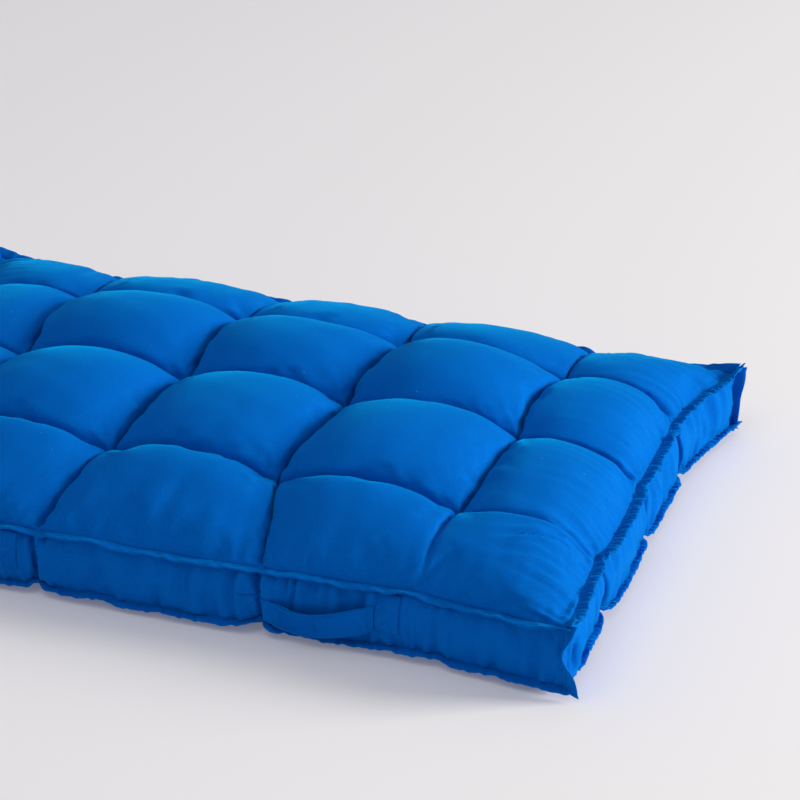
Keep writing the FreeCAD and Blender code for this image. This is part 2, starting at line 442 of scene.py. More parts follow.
def inflate(parts):
    points = np.concatenate([g.reshape(-1, 3) for g, _ in parts])
    faces, first = [], 0
    for g, _ in parts:
        faces.append(gridFaces(g.shape[0], g.shape[1], first))
        first += g.shape[0] * g.shape[1]
    piece = meshPiece("inflating", points.tolist(), np.concatenate(faces).tolist())
    pins = piece.vertex_groups.new(name="pins")
    for i, w in enumerate(np.concatenate([w.reshape(-1) for _, w in parts])):
        if w > 0:
            pins.add([i], float(w), "REPLACE")
    cloth = piece.modifiers.new("cloth", "CLOTH")
    facts = cloth.settings
    facts.quality = 4
    facts.mass = 0.12
    facts.air_damping = 1.5
    facts.tension_stiffness = facts.compression_stiffness = 14
    facts.shear_stiffness = 6
    facts.bending_stiffness = 0.25
    facts.use_pressure = True
    facts.uniform_pressure_force = sim["pressure"]
    facts.shrink_min = sim["growth"]
    facts.vertex_group_mass = "pins"
    facts.effector_weights.gravity = 0
    cloth.collision_settings.use_collision = False
    cloth.collision_settings.use_self_collision = False
    cloth.point_cache.frame_start, cloth.point_cache.frame_end = 1, sim["frames"]
    scene = bpy.context.scene
    for step in range(1, sim["frames"] + 1):
        scene.frame_set(step)
    shown = piece.evaluated_get(bpy.context.evaluated_depsgraph_get())
    moved = np.zeros(len(points) * 3)
    shown.data.vertices.foreach_get("co", moved)
    scene.frame_set(1)
    bpy.data.objects.remove(piece)
    return moved.reshape(-1, 3), points


def blownUp(topGrid, topFlat, walls):
    parts = [(topGrid, pinWeights(topFlat[..., 0], topFlat[..., 1]))]
    for side in walls:
        grid = walls[side][0]
        weight = np.zeros(grid.shape[:2])
        weight[:, 0] = weight[:, -1] = weight[0, :] = weight[-1, :] = 1.0
        parts.append((grid, weight))
    moved, points = inflate(parts)
    change = moved - points
    size = np.linalg.norm(change, axis=1, keepdims=True)
    print("cloth moved up to %.1f mm, %.1f mm on average" % (size.max() * 1000, size.mean() * 1000))
    reach = np.full((len(points), 1), sim["wallReach"])
    x, y = topFlat[..., 0], topFlat[..., 1]
    column = gapTo(x, columnLines[1:-1]) + 0.05 * fadingColumn(x, y)
    row = gapTo(y, rowLines[1:-1]) + 0.05 * fadingRow(x, y)
    free = ease(np.minimum(column, row) / 0.045)
    topReach = sim["creaseReach"] + (sim["topReach"] - sim["creaseReach"]) * free
    reach[: x.size, 0] = topReach.reshape(-1)
    kept = points + change * np.tanh(size / reach) * reach / np.maximum(size, 1e-9)
    kept[:, 2] = np.maximum(kept[:, 2], 0.003)
    out, first = [], 0
    for g, _ in parts:
        count = g.shape[0] * g.shape[1]
        out.append(kept[first:first + count].reshape(g.shape))
        first += count
    return out[0], {side: (g, walls[side][1]) for side, g in zip(walls, out[1:])}


topGrid, topFlat = layTop()
walls = {side: layWall(side) for side in sideFacts}
topGrid, walls = blownUp(topGrid, topFlat, walls)
print("cover shaped", topGrid.shape)


# ---- wrinkles ----
wrinkle = {
    "tuft": 0.0011,
    "tuftReach": 0.022,
    "soft": 0.0004,
    "slit": 0.009,           # how far the creases cut in between the pillows
    "foldWidth": 0.0042,
}
# gathers that run in from the seams: fine is height, reach, wavelength and octaves,
# long is height, reach and wavelength, patchy is share and wavelength
gathers = {
    "end": {"fan": 0.10, "fanWave": 0.16, "fine": (0.0026, 0.042, 0.017, 2),
            "long": (0.0014, 0.075, 0.040), "patchy": (0.4, 0.12), "seeds": ((1, 40), (-1, 50))},
    "side": {"fan": 0.12, "fanWave": 0.2, "fine": (0.0010, 0.022, 0.028, 3),
             "long": (0.0016, 0.06, 0.085), "patchy": (0.5, 0.16), "seeds": ((-1, 60), (1, 70))},
}
# short folds where the first row's crease dies out: from, to, depth
endFolds = [((0.452, -0.284), (0.586, -0.238), 0.0075), ((0.482, -0.302), (0.568, -0.286), 0.0055),
            ((0.500, -0.262), (0.575, -0.222), 0.0030), ((0.520, -0.318), (0.582, -0.312), 0.0030)]


def folded(x, y, start, end, depth):
    run = np.hypot(end[0] - start[0], end[1] - start[1])
    ahead = ((end[0] - start[0]) / run, (end[1] - start[1]) / run)
    along = ((x - start[0]) * ahead[0] + (y - start[1]) * ahead[1]) / run
    off = (y - start[1]) * ahead[0] - (x - start[0]) * ahead[1] - 0.05 * run * np.sin(math.pi * along)
    keep = ease(along / 0.35) * ease((1 - along) / 0.25)
    wide = wrinkle["foldWidth"]
    return depth * keep * (0.55 * bump(off, -1.9 * wide, 1.6 * wide) + 0.3 * bump(off, 2 * wide, 1.6 * wide)
                           - bump(off, 0, wide))


def topWrinkles(x, y):
    total = wrinkle["soft"] * drift(x, y, 0.07, 31)
    for kind, facts in gathers.items():
        off, along, reach = (x, y, halfLength) if kind == "end" else (y, x, halfWidth)
        fineHigh, fineReach, fineWave, octaves = facts["fine"]
        longHigh, longReach, longWave = facts["long"]
        share, patchWave = facts["patchy"]
        for sign, seed in facts["seeds"]:
            d = reach - sign * off
            fanned = along + facts["fan"] * d * wobble(along, facts["fanWave"], seed, 2)
            fine = fineHigh * np.exp(-d / fineReach) * wobble(fanned, fineWave, seed + 1, octaves)
            patch = 1 - share + share * drift(x, y, patchWave, seed + 4)
            far = longHigh * bump(d, 0.03, longReach) * patch * wobble(fanned, longWave, seed + 2, 4)
            total = total + (sign * off > 0) * (fine + far) * ease(d / 0.006)
    for i, tx in enumerate(tuftX):
        for j, ty in enumerate(tuftY):
            cx, cy = x - tx, y - ty
            r = np.hypot(cx, cy)
            angle = np.arctan2(cy, cx)
            draw = random.Random(100 + 10 * i + j)
            rays = 0.0
            for _ in range(5):
                ray = np.sin(angle * draw.randint(5, 13) + draw.uniform(0, 6.28))
                rays = rays + ray * draw.uniform(0.4, 1)
            near = r / wrinkle["tuftReach"]
            total = total + wrinkle["tuft"] * 0.6 * rays * near * np.exp(-near)
    for start, end, depth in endFolds:
        total = total + folded(x, y, start, end, depth)
    return total


def wallWrinkles(side, s, up):
    tall = topSeam - lowSeam
    share = np.clip(up / tall, 0, 1)
    reach = sideFacts[side][1]
    inner = ease((reach - np.abs(s)) / 0.02)
    seed = 200 + 17 * len(side)
    lean = s + 0.010 * (share - 0.5) * wobble(s, 0.12, seed)
    bySeams = np.exp(-(1 - share) / 0.4) + np.exp(-share / 0.25)
    fine = wall["gather"] * wobble(lean, 0.026, seed + 1, 3) * bySeams
    broad = 0.0018 * wobble(lean, 0.075, seed + 2) * np.sin(math.pi * share) ** 0.5
    total = fine + broad
    for k, (spot, depth) in enumerate(wallCreases[side]):
        draw = random.Random(seed + 30 + k)
        line = spot + draw.uniform(-0.010, 0.010) * (1 - share) + 0.003 * np.sin(share * 5 + k)
        keep = ease(share / 0.5) if k % 3 else np.ones_like(share)
        across = s - line
        total = total + wall["crease"] * depth * keep * (
            0.45 * bump(across, 0.009, 0.006) + 0.3 * bump(across, -0.010, 0.006) - bump(across, 0, 0.0042))
    if side == "right":                    # hollow where the end wall is caught in the front corner
        across, over = s + halfWidth - wall["hollowIn"], up - wall["hollowUp"]
        spread = (across / 0.008) ** 2 + (over / 0.017) ** 2
        rim = wall["hollowRim"] * bump(np.sqrt(spread), 1.7, 0.45)
        total = total - wall["hollow"] * np.exp(-spread) + rim
    if side == "front":                    # drawn in beside the right corner
        across, over = s - halfLength + wall["drawnAt"], up - wall["drawnUp"]
        total = total - wall["drawn"] * bump(across, 0, 0.017) * bump(over, 0, 0.030)
    return total * inner * ease(share / 0.06) * ease((1 - share) / 0.06)


def slits(x, y):
    column, row = gapTo(x, columnLines[1:-1]), gapTo(y, rowLines[1:-1])
    endShare, sideShare = edgeShares(x, y)
    acrossDepth = bump(column, 0, 0.0055) * (1 - fadingColumn(x, y)) * ease((1 - sideShare) / 0.1)
    alongDepth = bump(row, 0, 0.0055) * (1 - fadingRow(x, y)) * ease((1 - endShare) / 0.1)
    nearTuft = bump(np.hypot(column, row), 0, 0.03)
    return wrinkle["slit"] * np.maximum(acrossDepth, alongDepth) * (1 - 0.8 * nearTuft)


topFine, topFlatFine = upsampled(topGrid), upsampled(topFlat)
topFine = topFine + normalsOf(topFine) * topWrinkles(topFlatFine[..., 0], topFlatFine[..., 1])[..., None]
topFine[..., 2] -= slits(topFlatFine[..., 0], topFlatFine[..., 1])
wallsFine = {}
for side in walls:
    grid, flat = upsampled(walls[side][0]), upsampled(walls[side][1])
    grid = grid + normalsOf(grid) * wallWrinkles(side, flat[..., 0], flat[..., 1])[..., None]
    wallsFine[side] = (grid, flat)
print("wrinkles pressed in", topFine.shape)


# ---- materials ----
def nodeGroup(name, inputs, outputs):
    group = bpy.data.node_groups.new(name, "ShaderNodeTree")
    for label, kind, value in inputs:
        socket = group.interface.new_socket(label, in_out="INPUT", socket_type=kind)
        socket.default_value = value
    for label, kind in outputs:
        group.interface.new_socket(label, in_out="OUTPUT", socket_type=kind)
    return group, group.nodes.new("NodeGroupInput"), group.nodes.new("NodeGroupOutput")


def linked(tree, node, links):
    for place, source in links.items():
        if isinstance(source, bpy.types.NodeSocket):
            tree.links.new(source, node.inputs[place])
        else:
            node.inputs[place].default_value = source
    return node


def added(tree, kind, links, **values):
    node = tree.nodes.new("ShaderNode" + kind)
    for key, value in values.items():
        setattr(node, key, value)
    return linked(tree, node, links)


def worked(tree, operation, a, b=0.0, c=0.0):
    return added(tree, "Math", {0: a, 1: b, 2: c}, operation=operation).outputs[0]


def noise(tree, place, scale, detail, distortion=0.0):
    return added(tree, "TexNoise", {"Vector": place, "Scale": scale, "Detail": detail,
                                    "Distortion": distortion})


def blended(tree, share, first, second):
    return added(tree, "Mix", {0: share, 6: first, 7: second}, data_type="RGBA").outputs[2]


def spanned(tree, value, *span):
    return added(tree, "MapRange", {0: value, **dict(enumerate(span, 1))}).outputs[0]


def scaled(tree, vector, size):
    return added(tree, "VectorMath", {0: vector, 3: size}, operation="SCALE").outputs[0]


def makeTwillGroup():
    group, given, result = nodeGroup(
        "twillWeave",
        [("Place", "NodeSocketVector", (0, 0, 0)), ("Threads", "NodeSocketFloat", 900.0)],
        [("Height", "NodeSocketFloat"), ("Thread", "NodeSocketFloat")])
    place = scaled(group, given.outputs["Place"], given.outputs["Threads"])
    wander = noise(group, place, 0.09, 2.0).outputs[0]
    parts = added(group, "SeparateXYZ", {0: place})
    u = worked(group, "MULTIPLY_ADD", wander, 1.6, parts.outputs[0])
    v = worked(group, "MULTIPLY_ADD", wander, -1.3, parts.outputs[1])
    warp = worked(group, "SINE", worked(group, "MULTIPLY", u, 2 * math.pi))
    weft = worked(group, "SINE", worked(group, "MULTIPLY", v, 2 * math.pi))
    rib = worked(group, "SINE", worked(group, "MULTIPLY", worked(group, "ADD", u, v), math.pi))
    lattice = worked(group, "MULTIPLY", warp, weft)
    height = worked(group, "MULTIPLY_ADD", rib, 0.35, worked(group, "MULTIPLY", lattice, 0.3))
    slub = noise(group, place, 0.35, 3.0).outputs[0]
    linked(group, result, {"Height": worked(group, "MULTIPLY_ADD", slub, 0.5, height), "Thread": slub})
    return group


def makeWearGroup():
    group, given, result = nodeGroup(
        "fadedDye",
        [("Place", "NodeSocketVector", (0, 0, 0)), ("Dye", "NodeSocketColor", (0, 0.1, 0.5, 1)),
         ("Faded", "NodeSocketColor", (0.02, 0.16, 0.6, 1)), ("Amount", "NodeSocketFloat", 0.4)],
        [("Color", "NodeSocketColor"), ("Roughness", "NodeSocketFloat")])
    broad = noise(group, given.outputs["Place"], 6.0, 3.0).outputs[0]
    fine = noise(group, given.outputs["Place"], 55.0, 4.0).outputs[0]
    both = worked(group, "MULTIPLY_ADD", fine, 0.4, worked(group, "MULTIPLY", broad, 0.6))
    share = worked(group, "MULTIPLY", spanned(group, both, 0.35, 0.68), given.outputs["Amount"])
    linked(group, result, {"Color": blended(group, share, given.outputs["Dye"], given.outputs["Faded"]),
                           "Roughness": spanned(group, fine, 0.3, 0.7, 0.78, 0.92)})
    return group


def makeLintGroup():
    group, given, result = nodeGroup(
        "lintSpecks",
        [("Place", "NodeSocketVector", (0, 0, 0)), ("Cells", "NodeSocketFloat", 70.0),
         ("Share", "NodeSocketFloat", 0.12)],
        [("Mask", "NodeSocketFloat")])
    bent = noise(group, given.outputs["Place"], 260.0, 2.0)
    moved = scaled(group, bent.outputs["Color"], 0.0016)
    place = added(group, "VectorMath", {0: given.outputs["Place"], 1: moved}, operation="ADD").outputs[0]
    cells = added(group, "TexVoronoi", {"Vector": place, "Scale": given.outputs["Cells"],
                                        "Randomness": 1.0})
    near = spanned(group, cells.outputs["Distance"], 0.05, 0.022, 0.0, 1.0)
    pick = added(group, "SeparateColor", {0: cells.outputs["Color"]})
    chosen = worked(group, "LESS_THAN", pick.outputs[0], given.outputs["Share"])
    linked(group, result, {"Mask": worked(group, "MULTIPLY", near, chosen)})
    return group


twillGroup, wearGroup, lintGroup = makeTwillGroup(), makeWearGroup(), makeLintGroup()


def newMaterial(name):
    material = bpy.data.materials.new(name)
    material.use_nodes = True
    tree = material.node_tree
    return material, tree, tree.nodes["Principled BSDF"], tree.nodes.new("ShaderNodeTexCoord").outputs


def cottonMaterial(name, dye, faded, threads=1000.0, depth=0.00022, lint=0.12, amount=0.5):
    material, tree, shader, place = newMaterial(name)
    weave = added(tree, "Group", {"Place": place["UV"], "Threads": threads}, node_tree=twillGroup)
    wear = added(tree, "Group", {"Place": place["Object"], "Dye": (*dye, 1), "Faded": (*faded, 1),
                                 "Amount": amount}, node_tree=wearGroup)
    specks = added(tree, "Group", {"Place": place["Object"], "Share": lint}, node_tree=lintGroup)
    thread = spanned(tree, weave.outputs["Thread"], 0.3, 0.7, 0.90, 1.08)
    toned = scaled(tree, wear.outputs["Color"], thread)
    surface = added(tree, "Bump", {"Height": weave.outputs["Height"], "Distance": depth, "Strength": 0.6})
    linked(tree, shader, {
        "Base Color": blended(tree, specks.outputs["Mask"], toned, (0.34, 0.47, 0.72, 1)),
        "Roughness": wear.outputs["Roughness"], "Normal": surface.outputs[0], "Specular IOR Level": 0.02,
        "Sheen Weight": 0.8, "Sheen Roughness": 0.34, "Sheen Tint": (0.0, 0.48, 1.0, 1)})
    return material


def battingMaterial():
    material, tree, shader, place = newMaterial("cottonFelt")
    fibres = noise(tree, place["Object"], 240.0, 6.0, 2.5)
    layers = noise(tree, place["Object"], 14.0, 3.0)
    seeds = added(tree, "Group", {"Place": place["Object"], "Cells": 90.0, "Share": 0.2},
                  node_tree=lintGroup)
    tone = blended(tree, layers.outputs[0], (0.70, 0.66, 0.56, 1), (0.88, 0.86, 0.79, 1))
    fuzz = added(tree, "Bump", {"Height": fibres.outputs[0], "Distance": 0.002, "Strength": 0.8})
    linked(tree, shader, {
        "Base Color": blended(tree, seeds.outputs["Mask"], tone, (0.25, 0.17, 0.09, 1)),
        "Normal": fuzz.outputs[0], "Roughness": 0.95, "Sheen Weight": 0.3})
    return material


cotton = cottonMaterial("royalCotton", (0.0, 0.116, 0.50), (0.0, 0.146, 0.60), lint=0.09)
flangeCotton = cottonMaterial("flangeCotton", (0.0, 0.105, 0.47), (0.0, 0.150, 0.58), threads=1100.0,
                              lint=0.05, amount=0.7)
strapCotton = cottonMaterial("strapCotton", (0.0, 0.108, 0.49), (0.0, 0.145, 0.59), threads=1100.0,
                             lint=0.04)
threadCotton = cottonMaterial("sewingThread", (0.0, 0.13, 0.56), (0.02, 0.18, 0.64), threads=2600.0,
                              depth=0.0001, lint=0.0)
twine = cottonMaterial("tuftingTwine", (0.02, 0.12, 0.42), (0.04, 0.17, 0.5), threads=1800.0, lint=0.0)
felt = battingMaterial()
print("materials made")


# ---- mesh pieces built ring by ring ----
class Build:
    def __init__(self):
        self.points, self.faces, self.flats, self.kinds = [], [], [], []

    def rings(self, rings, flats, kind=0):
        first, count = len(self.points), len(rings[0])
        for ring in rings:
            self.points += [tuple(p) for p in ring]
        for r in range(len(rings) - 1):
            for k in range(count):
                a, b = first + r * count + k, first + r * count + (k + 1) % count
                self.faces.append((a, b, b + count, a + count))
                ua, ub = flats[r][k], flats[r][k + 1]
                va, vb = flats[r + 1][k], flats[r + 1][k + 1]
                self.flats.append((ua, ub, vb, va))
                self.kinds.append(kind)
        last = first + (len(rings) - 1) * count
        self.faces.append(tuple(range(first + count - 1, first - 1, -1)))
        self.flats.append(tuple(flats[0][:count][::-1]))
        self.faces.append(tuple(range(last, last + count)))
        self.flats.append(tuple(flats[-1][:count]))
        self.kinds += [kind, kind]

    def piece(self, name, materials):
        flats = np.array([c for f in self.flats for p in f for c in p], np.float32)
        return meshPiece(name, self.points, self.faces, flats, materials, self.kinds, True)


def tube(build, path, radius, sides=6, kind=0):
    path = [Vector(p) for p in path]
    rings, flats, run = [], [], 0.0
    for i, p in enumerate(path):
        ahead = (path[min(i + 1, len(path) - 1)] - path[max(i - 1, 0)]).normalized()
        side = ahead.cross(Vector((0.31, 0.17, 0.93))).normalized()
        other = ahead.cross(side)
        r = radius[i] if isinstance(radius, (list, tuple)) else radius
        rings.append([p + (side * math.cos(a) + other * math.sin(a)) * r
                      for a in (2 * math.pi * k / sides for k in range(sides))])
        run += (p - path[max(i - 1, 0)]).length
        flats.append([(run, 2 * math.pi * r * k / sides) for k in range(sides + 1)])
    build.rings(rings, flats, kind)


def runOf(line):
    return np.concatenate([[0], np.cumsum(np.linalg.norm(np.diff(line, axis=0), axis=1))])


def atRun(values, lengths, at):
    return np.stack([np.interp(at, lengths, values[:, k]) for k in range(3)], axis=-1)


stitch = {                   # length, pitch, radius
    "seam": (0.0026, 0.0039, 0.00034),
    "strap": (0.0022, 0.0031, 0.00030),
}


def stitchRun(build, line, lifts, length, pitch, radius, kind=1):
    line = np.array(line)
    lengths = runOf(line)
    at = 0.3 * pitch
    while at + length < lengths[-1]:
        marks = [at, at + length * 0.25, at + length * 0.75, at + length]
        path = [Vector(p) for p in atRun(line, lengths, marks)]
        up = Vector(atRun(lifts, lengths, at)).normalized()
        path[0] -= up * radius * 0.9
        path[3] -= up * radius * 0.9
        tube(build, path, [radius * 0.45, radius, radius, radius * 0.45], 5, kind)
        at += pitch


def finished(piece, body, slotName, *nodes):
    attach(piece, body)
    if nodes:
        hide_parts(*nodes)


# ---- top panel and borders ----
def dressPiece(name, grid, flat, thickness, material):
    piece = gridPiece(name, grid, flat, material)
    applied(piece, "SOLIDIFY", thickness=thickness, offset=-1.0, use_even_offset=False)
    return piece


topPanel = dressPiece("cover_top_panel", topFine, topFlatFine, cover["thickness"], cotton)
finished(topPanel, "mattress", "cotton_twill", "top_panel")
for side, (grid, flat) in wallsFine.items():
    border = dressPiece("cover_" + side + "_border", grid, flat, wall["thickness"], cotton)
    finished(border, "mattress", "cotton_twill", side + "_border")
print("cover pieces made")


# ---- bottom panel ----
base = {
    "margin": 0.050,         # rounded skirt between the flat and the seam
    "dimple": 0.0315,
    "dimpleWidth": 0.030,
    "thickness": 0.0018,
    "furrow": 0.004,
}


def bottomHeight(x, y):
    d = np.minimum(halfLength - np.abs(x), halfWidth - np.abs(y))
    share = np.clip(1 - d / base["margin"], 0, 1)
    z = lowSeam * (1 - np.sqrt(np.maximum(1 - share**2, 0)))
    column, row = gapTo(x, columnLines[1:-1]), gapTo(y, rowLines[1:-1])
    z = z + base["furrow"] * (bump(column, 0, 0.016) + bump(row, 0, 0.016)) * ease(d / 0.03)
    for tx in tuftX:
        for ty in tuftY:
            far = np.hypot(x - tx, y - ty) / base["dimpleWidth"] * 1.2
            z = np.maximum(z, base["dimple"] * np.exp(-far))
    return z + 0.0006 + 0.0005 * (1 + drift(x, y, 0.05, 90)) * ease(d / 0.02)


def makeBottom():
    x, y = np.meshgrid(xs, ys, indexing="ij")
    px, py = plan(x, y, 0.0)
    z = bottomHeight(x, y)
    z[:, 0], z[:, -1] = seamHeight("front", x[:, 0], 0), seamHeight("back", x[:, -1], 0)
    z[0, :], z[-1, :] = seamHeight("left", y[0, :], 0), seamHeight("right", y[-1, :], 0)
    grid = np.stack([px, py, z], axis=-1)[:, ::-1]
    return grid, np.stack([x, y], axis=-1)[:, ::-1]


bottomGrid, bottomFlat = makeBottom()
bottomPanel = dressPiece("cover_bottom_panel", bottomGrid, bottomFlat, base["thickness"], cotton)
finished(bottomPanel, "mattress", "cotton_twill", "bottom_panel")


# ---- filling ----
def layer(name, top, low, node):
    rows, columns = top.shape[:2]
    upper = gridFaces(rows, columns)
    count = rows * columns
    lower = gridFaces(rows, columns, count)[:, ::-1]
    index = np.arange(count).reshape(rows, columns)
    rim = np.concatenate([index[:, 0], index[-1, 1:], index[::-1, -1][1:], index[0, ::-1][1:-1]])
    skirt = [(int(b), int(a), int(a) + count, int(b) + count) for a, b in zip(rim, np.roll(rim, -1))]
    points = np.concatenate([top.reshape(-1, 3), low.reshape(-1, 3)]).tolist()
    faces = upper.tolist() + lower.tolist() + skirt
    piece = meshPiece(name, points, faces, materials=[felt], facingOut=True)
    finished(piece, "mattress", "cotton_batting", node)


def makeFilling():
    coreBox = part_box("core_batting")
    x, y = np.meshgrid(xs, ys, indexing="ij")
    px, py = plan(x, y, 0.5)
    endShare, sideShare = edgeShares(x, y)
    px, py = px - np.sign(x) * 0.009 * endShare, py - np.sign(y) * 0.009 * sideShare
    tuftedness = 0.0015 * drift(x, y, 0.03, 77)
    roof = topHeight(x, y)
    for _ in range(3):                     # lowest height nearby, so that the felt stays under every crease
        around = np.pad(roof, 1, mode="edge")
        roof = np.min([around[a:a + len(xs), b:b + len(ys)] for a in range(3) for b in range(3)], axis=0)
    roof = np.maximum(roof - 0.006, coreBox[1].z + 0.002)

    def sheetAt(z):
        return np.stack([px, py, np.broadcast_to(z, px.shape)], axis=-1)

    low, high = coreBox[0].z, coreBox[1].z
    floorZ = np.minimum(bottomHeight(x, y) + 0.004, low - 0.003)
    layer("filling_upper_felt", sheetAt(roof + tuftedness * 0.5), sheetAt(high + 0.0004), "upper_batting")
    layer("filling_core_felt", sheetAt(high - 0.0004), sheetAt(low + 0.0004), "core_batting")
    layer("filling_lower_felt", sheetAt(low - 0.0006), sheetAt(floorZ), "lower_batting")


makeFilling()
print("bottom and filling made")


# ---- raised seam flanges ----
flange = {
    "step": 0.0022,
    "topWidth": {"front": 0.0125, "right": 0.0165, "back": 0.013, "left": 0.016},
    "lowWidth": 0.0125,
    "thickness": 0.0025,
    "topTilt": {"front": 2, "right": 16, "back": 20, "left": 18},
    "lowTilt": {"front": -8, "right": 6, "back": -6, "left": 4},
    "topPucker": {"front": 0.0009, "right": 0.0026, "back": 0.0008, "left": 0.0022},
    "lowPucker": {"front": 0.0013, "right": 0.0015, "back": 0.0010, "left": 0.0013},
    "topPitch": {"front": 0.030, "right": 0.0090, "back": 0.024, "left": 0.0095},
    "lowPitch": {"front": 0.020, "right": 0.0100, "back": 0.020, "left": 0.0110},
    "earRise": 26,           # degrees that the ends lift into the corner ears
    "stitchAt": 0.30,        # share of the width at which it is stitched
    "stitchLift": 0.000875,  # height of the stitches over its middle
    "flatWidth": 0.020,
    "cornerStep": 0.0025,
    "tuckFrom": 0.318,       # distance from the middle where the right low flange tucks under
    "reachBelow": 0.004,     # how far a corner flange runs on past the seams
    "reachAbove": 0.007,
    "cornerShare": 1.25,     # width of a corner flange beside the front one's
}
# profile round the flange: share of its width, share of its half thickness
flangeSide = [(-0.10, 0.8), (0.12, 0.9), (0.30, 0.62), (0.5, 1.0), (0.75, 1.05), (0.94, 0.85)]
flangeProfile = [(a, -b) for a, b in flangeSide] + [(1.0, 0.0)] + flangeSide[::-1]


def evenly(line, step):
    lengths = runOf(line)
    at = np.linspace(0, lengths[-1], int(round(lengths[-1] / step)) + 1)
    return atRun(line, lengths, at), at


def smoothed(values, times=6):
    for _ in range(times):
        inner = 0.25 * values[:-2] + 0.5 * values[1:-1] + 0.25 * values[2:]
        values = np.concatenate([values[:1], inner, values[-1:]])
    return values


def unit(values):
    return values / np.maximum(np.linalg.norm(values, axis=-1, keepdims=True), 1e-12)


def ribbon(build, roots, reach, thick, at, pucker, curl):
    rings, flats = [], []
    half = flange["thickness"] / 2
    for r, d, n, s, folds, bend in zip(roots, reach, thick, at, pucker, curl):
        ring, flat, run = [], [], 0.0
        for k, (a, b) in enumerate(flangeProfile):
            outer = max(a, 0)
            rise = folds[0] * math.sin(min(outer, 1) * 2.4) + (folds[1] + bend) * outer**2
            ring.append(r + d * a + n * (b * half + rise))
            flat.append((s, run))
            run += abs(a - flangeProfile[k - 1][0]) * 0.016 if k else 0.0
        flat.append((s, run + 0.002))
        rings.append(ring)
        flats.append(flat)
    build.rings(rings, flats)


def makeFlange(side, level):
    line = wallsFine[side][0][:, -1 if level else 0]
    roots, at = evenly(line, flange["step"])
    ahead = unit(np.gradient(smoothed(roots, 10), axis=0))
    flatAhead = unit(ahead * (1, 1, 0))
    outward = np.cross(flatAhead, (0, 0, 1.0))
    ends = np.minimum(at, at[-1] - at)
    turn = (1 - ease(ends / 0.020))[:, None]
    towards = np.where((at < at[-1] / 2)[:, None], -flatAhead, flatAhead)
    outward = unit(outward + towards * turn)
    seed = len(side) * 7 + (3 if level else 5)
    tilt = flange["topTilt" if level else "lowTilt"][side] + 5 * wobble(at, 0.15, seed)
    tilt = tilt + 2.5 * wobble(at, 0.05, seed + 1)
    ear = (1 - ease(ends / 0.045)) * (flange["earRise"] if level else 10)
    angle = np.radians(tilt + ear)[:, None]
    width = flange["topWidth"][side] if level else flange["lowWidth"]
    notched = np.ones_like(at)
    alongSide = roots[:, 0] if side in ("front", "back") else roots[:, 1]
    for spot, depth in notchSpots[side]:
        planned = plan(*sidePlaces(side, np.array([spot])))
        place = planned[side in ("right", "left")][0]
        notched = notched - (0.25 if level else 0.45) * depth * bump(alongSide, place, 0.010)
    if side == "right" and not level:      # tucked under beside the front corner
        notched = notched * (1 - 0.6 * ease((-alongSide - flange["tuckFrom"]) / 0.03))
    reachLong = width * (1 + 0.06 * wobble(at, 0.07, seed + 2)) * notched
    reachLong = reachLong[:, None] * (1 + 0.22 * turn)
    d = (outward * np.cos(angle) + np.array([0, 0, 1.0]) * np.sin(angle))
    n = unit(np.cross(d, ahead))
    n = n * np.sign(n[:, 2:3] * np.cos(angle) + 1e-9)
    pitch = flange["topPitch" if level else "lowPitch"][side]
    strength = flange["topPucker" if level else "lowPucker"][side] * ease(ends / 0.01)
    strength = strength * (0.7 + 0.3 * wobble(at, 0.09, seed + 3))
    deep = strength * wobble(at, pitch, seed + 4, 2)
    tips = strength * 0.7 * wobble(at, pitch * 1.7, seed + 5, 2)
    curl = 0.0016 * wobble(at, 0.11, seed + 6)
    if not level:
        low = roots[:, 2] + (d * reachLong)[:, 2] + n[:, 2] * (tips + curl) - flange["thickness"] * 0.7
        curl = curl + np.maximum(0.0008 - low, 0) / np.maximum(n[:, 2], 0.3)
    build = Build()
    ribbon(build, roots, d * reachLong, n, at, np.stack([deep, tips], axis=1), curl)
    share = flange["stitchAt"]
    lift = flange["stitchLift"]
    rise = deep * math.sin(share * 2.4) + (tips + curl) * share**2
    stitchLine = roots + d * reachLong * share + n * (lift + rise)[:, None]
    stitchRun(build, stitchLine[2:-2], n[2:-2], *stitch["seam"])
    name = side + ("_top_flange" if level else "_bottom_flange")
    piece = build.piece("seam_" + name, [flangeCotton, threadCotton])
    finished(piece, "mattress", "flange_cotton", name)


for side in sideFacts:
    for level in (1, 0):
        makeFlange(side, level)

# wall whose end is the corner; how the ribbon twists at the top and the foot, its phase and its
# steady turn; the foot's extra width
cornerFacts = {
    "front_right": ("front", (1.0, 0.15, 1.5, 0.0), 0.2),
    "back_right": ("right", (-0.25, -0.15, 0.4, -0.85), -0.5),
    "back_left": ("back", (0.3, -0.4, 0.6, 0.0), 0.0),
    "front_left": ("left", (-0.4, 0.35, 0.8, 0.0), 0.0),
}


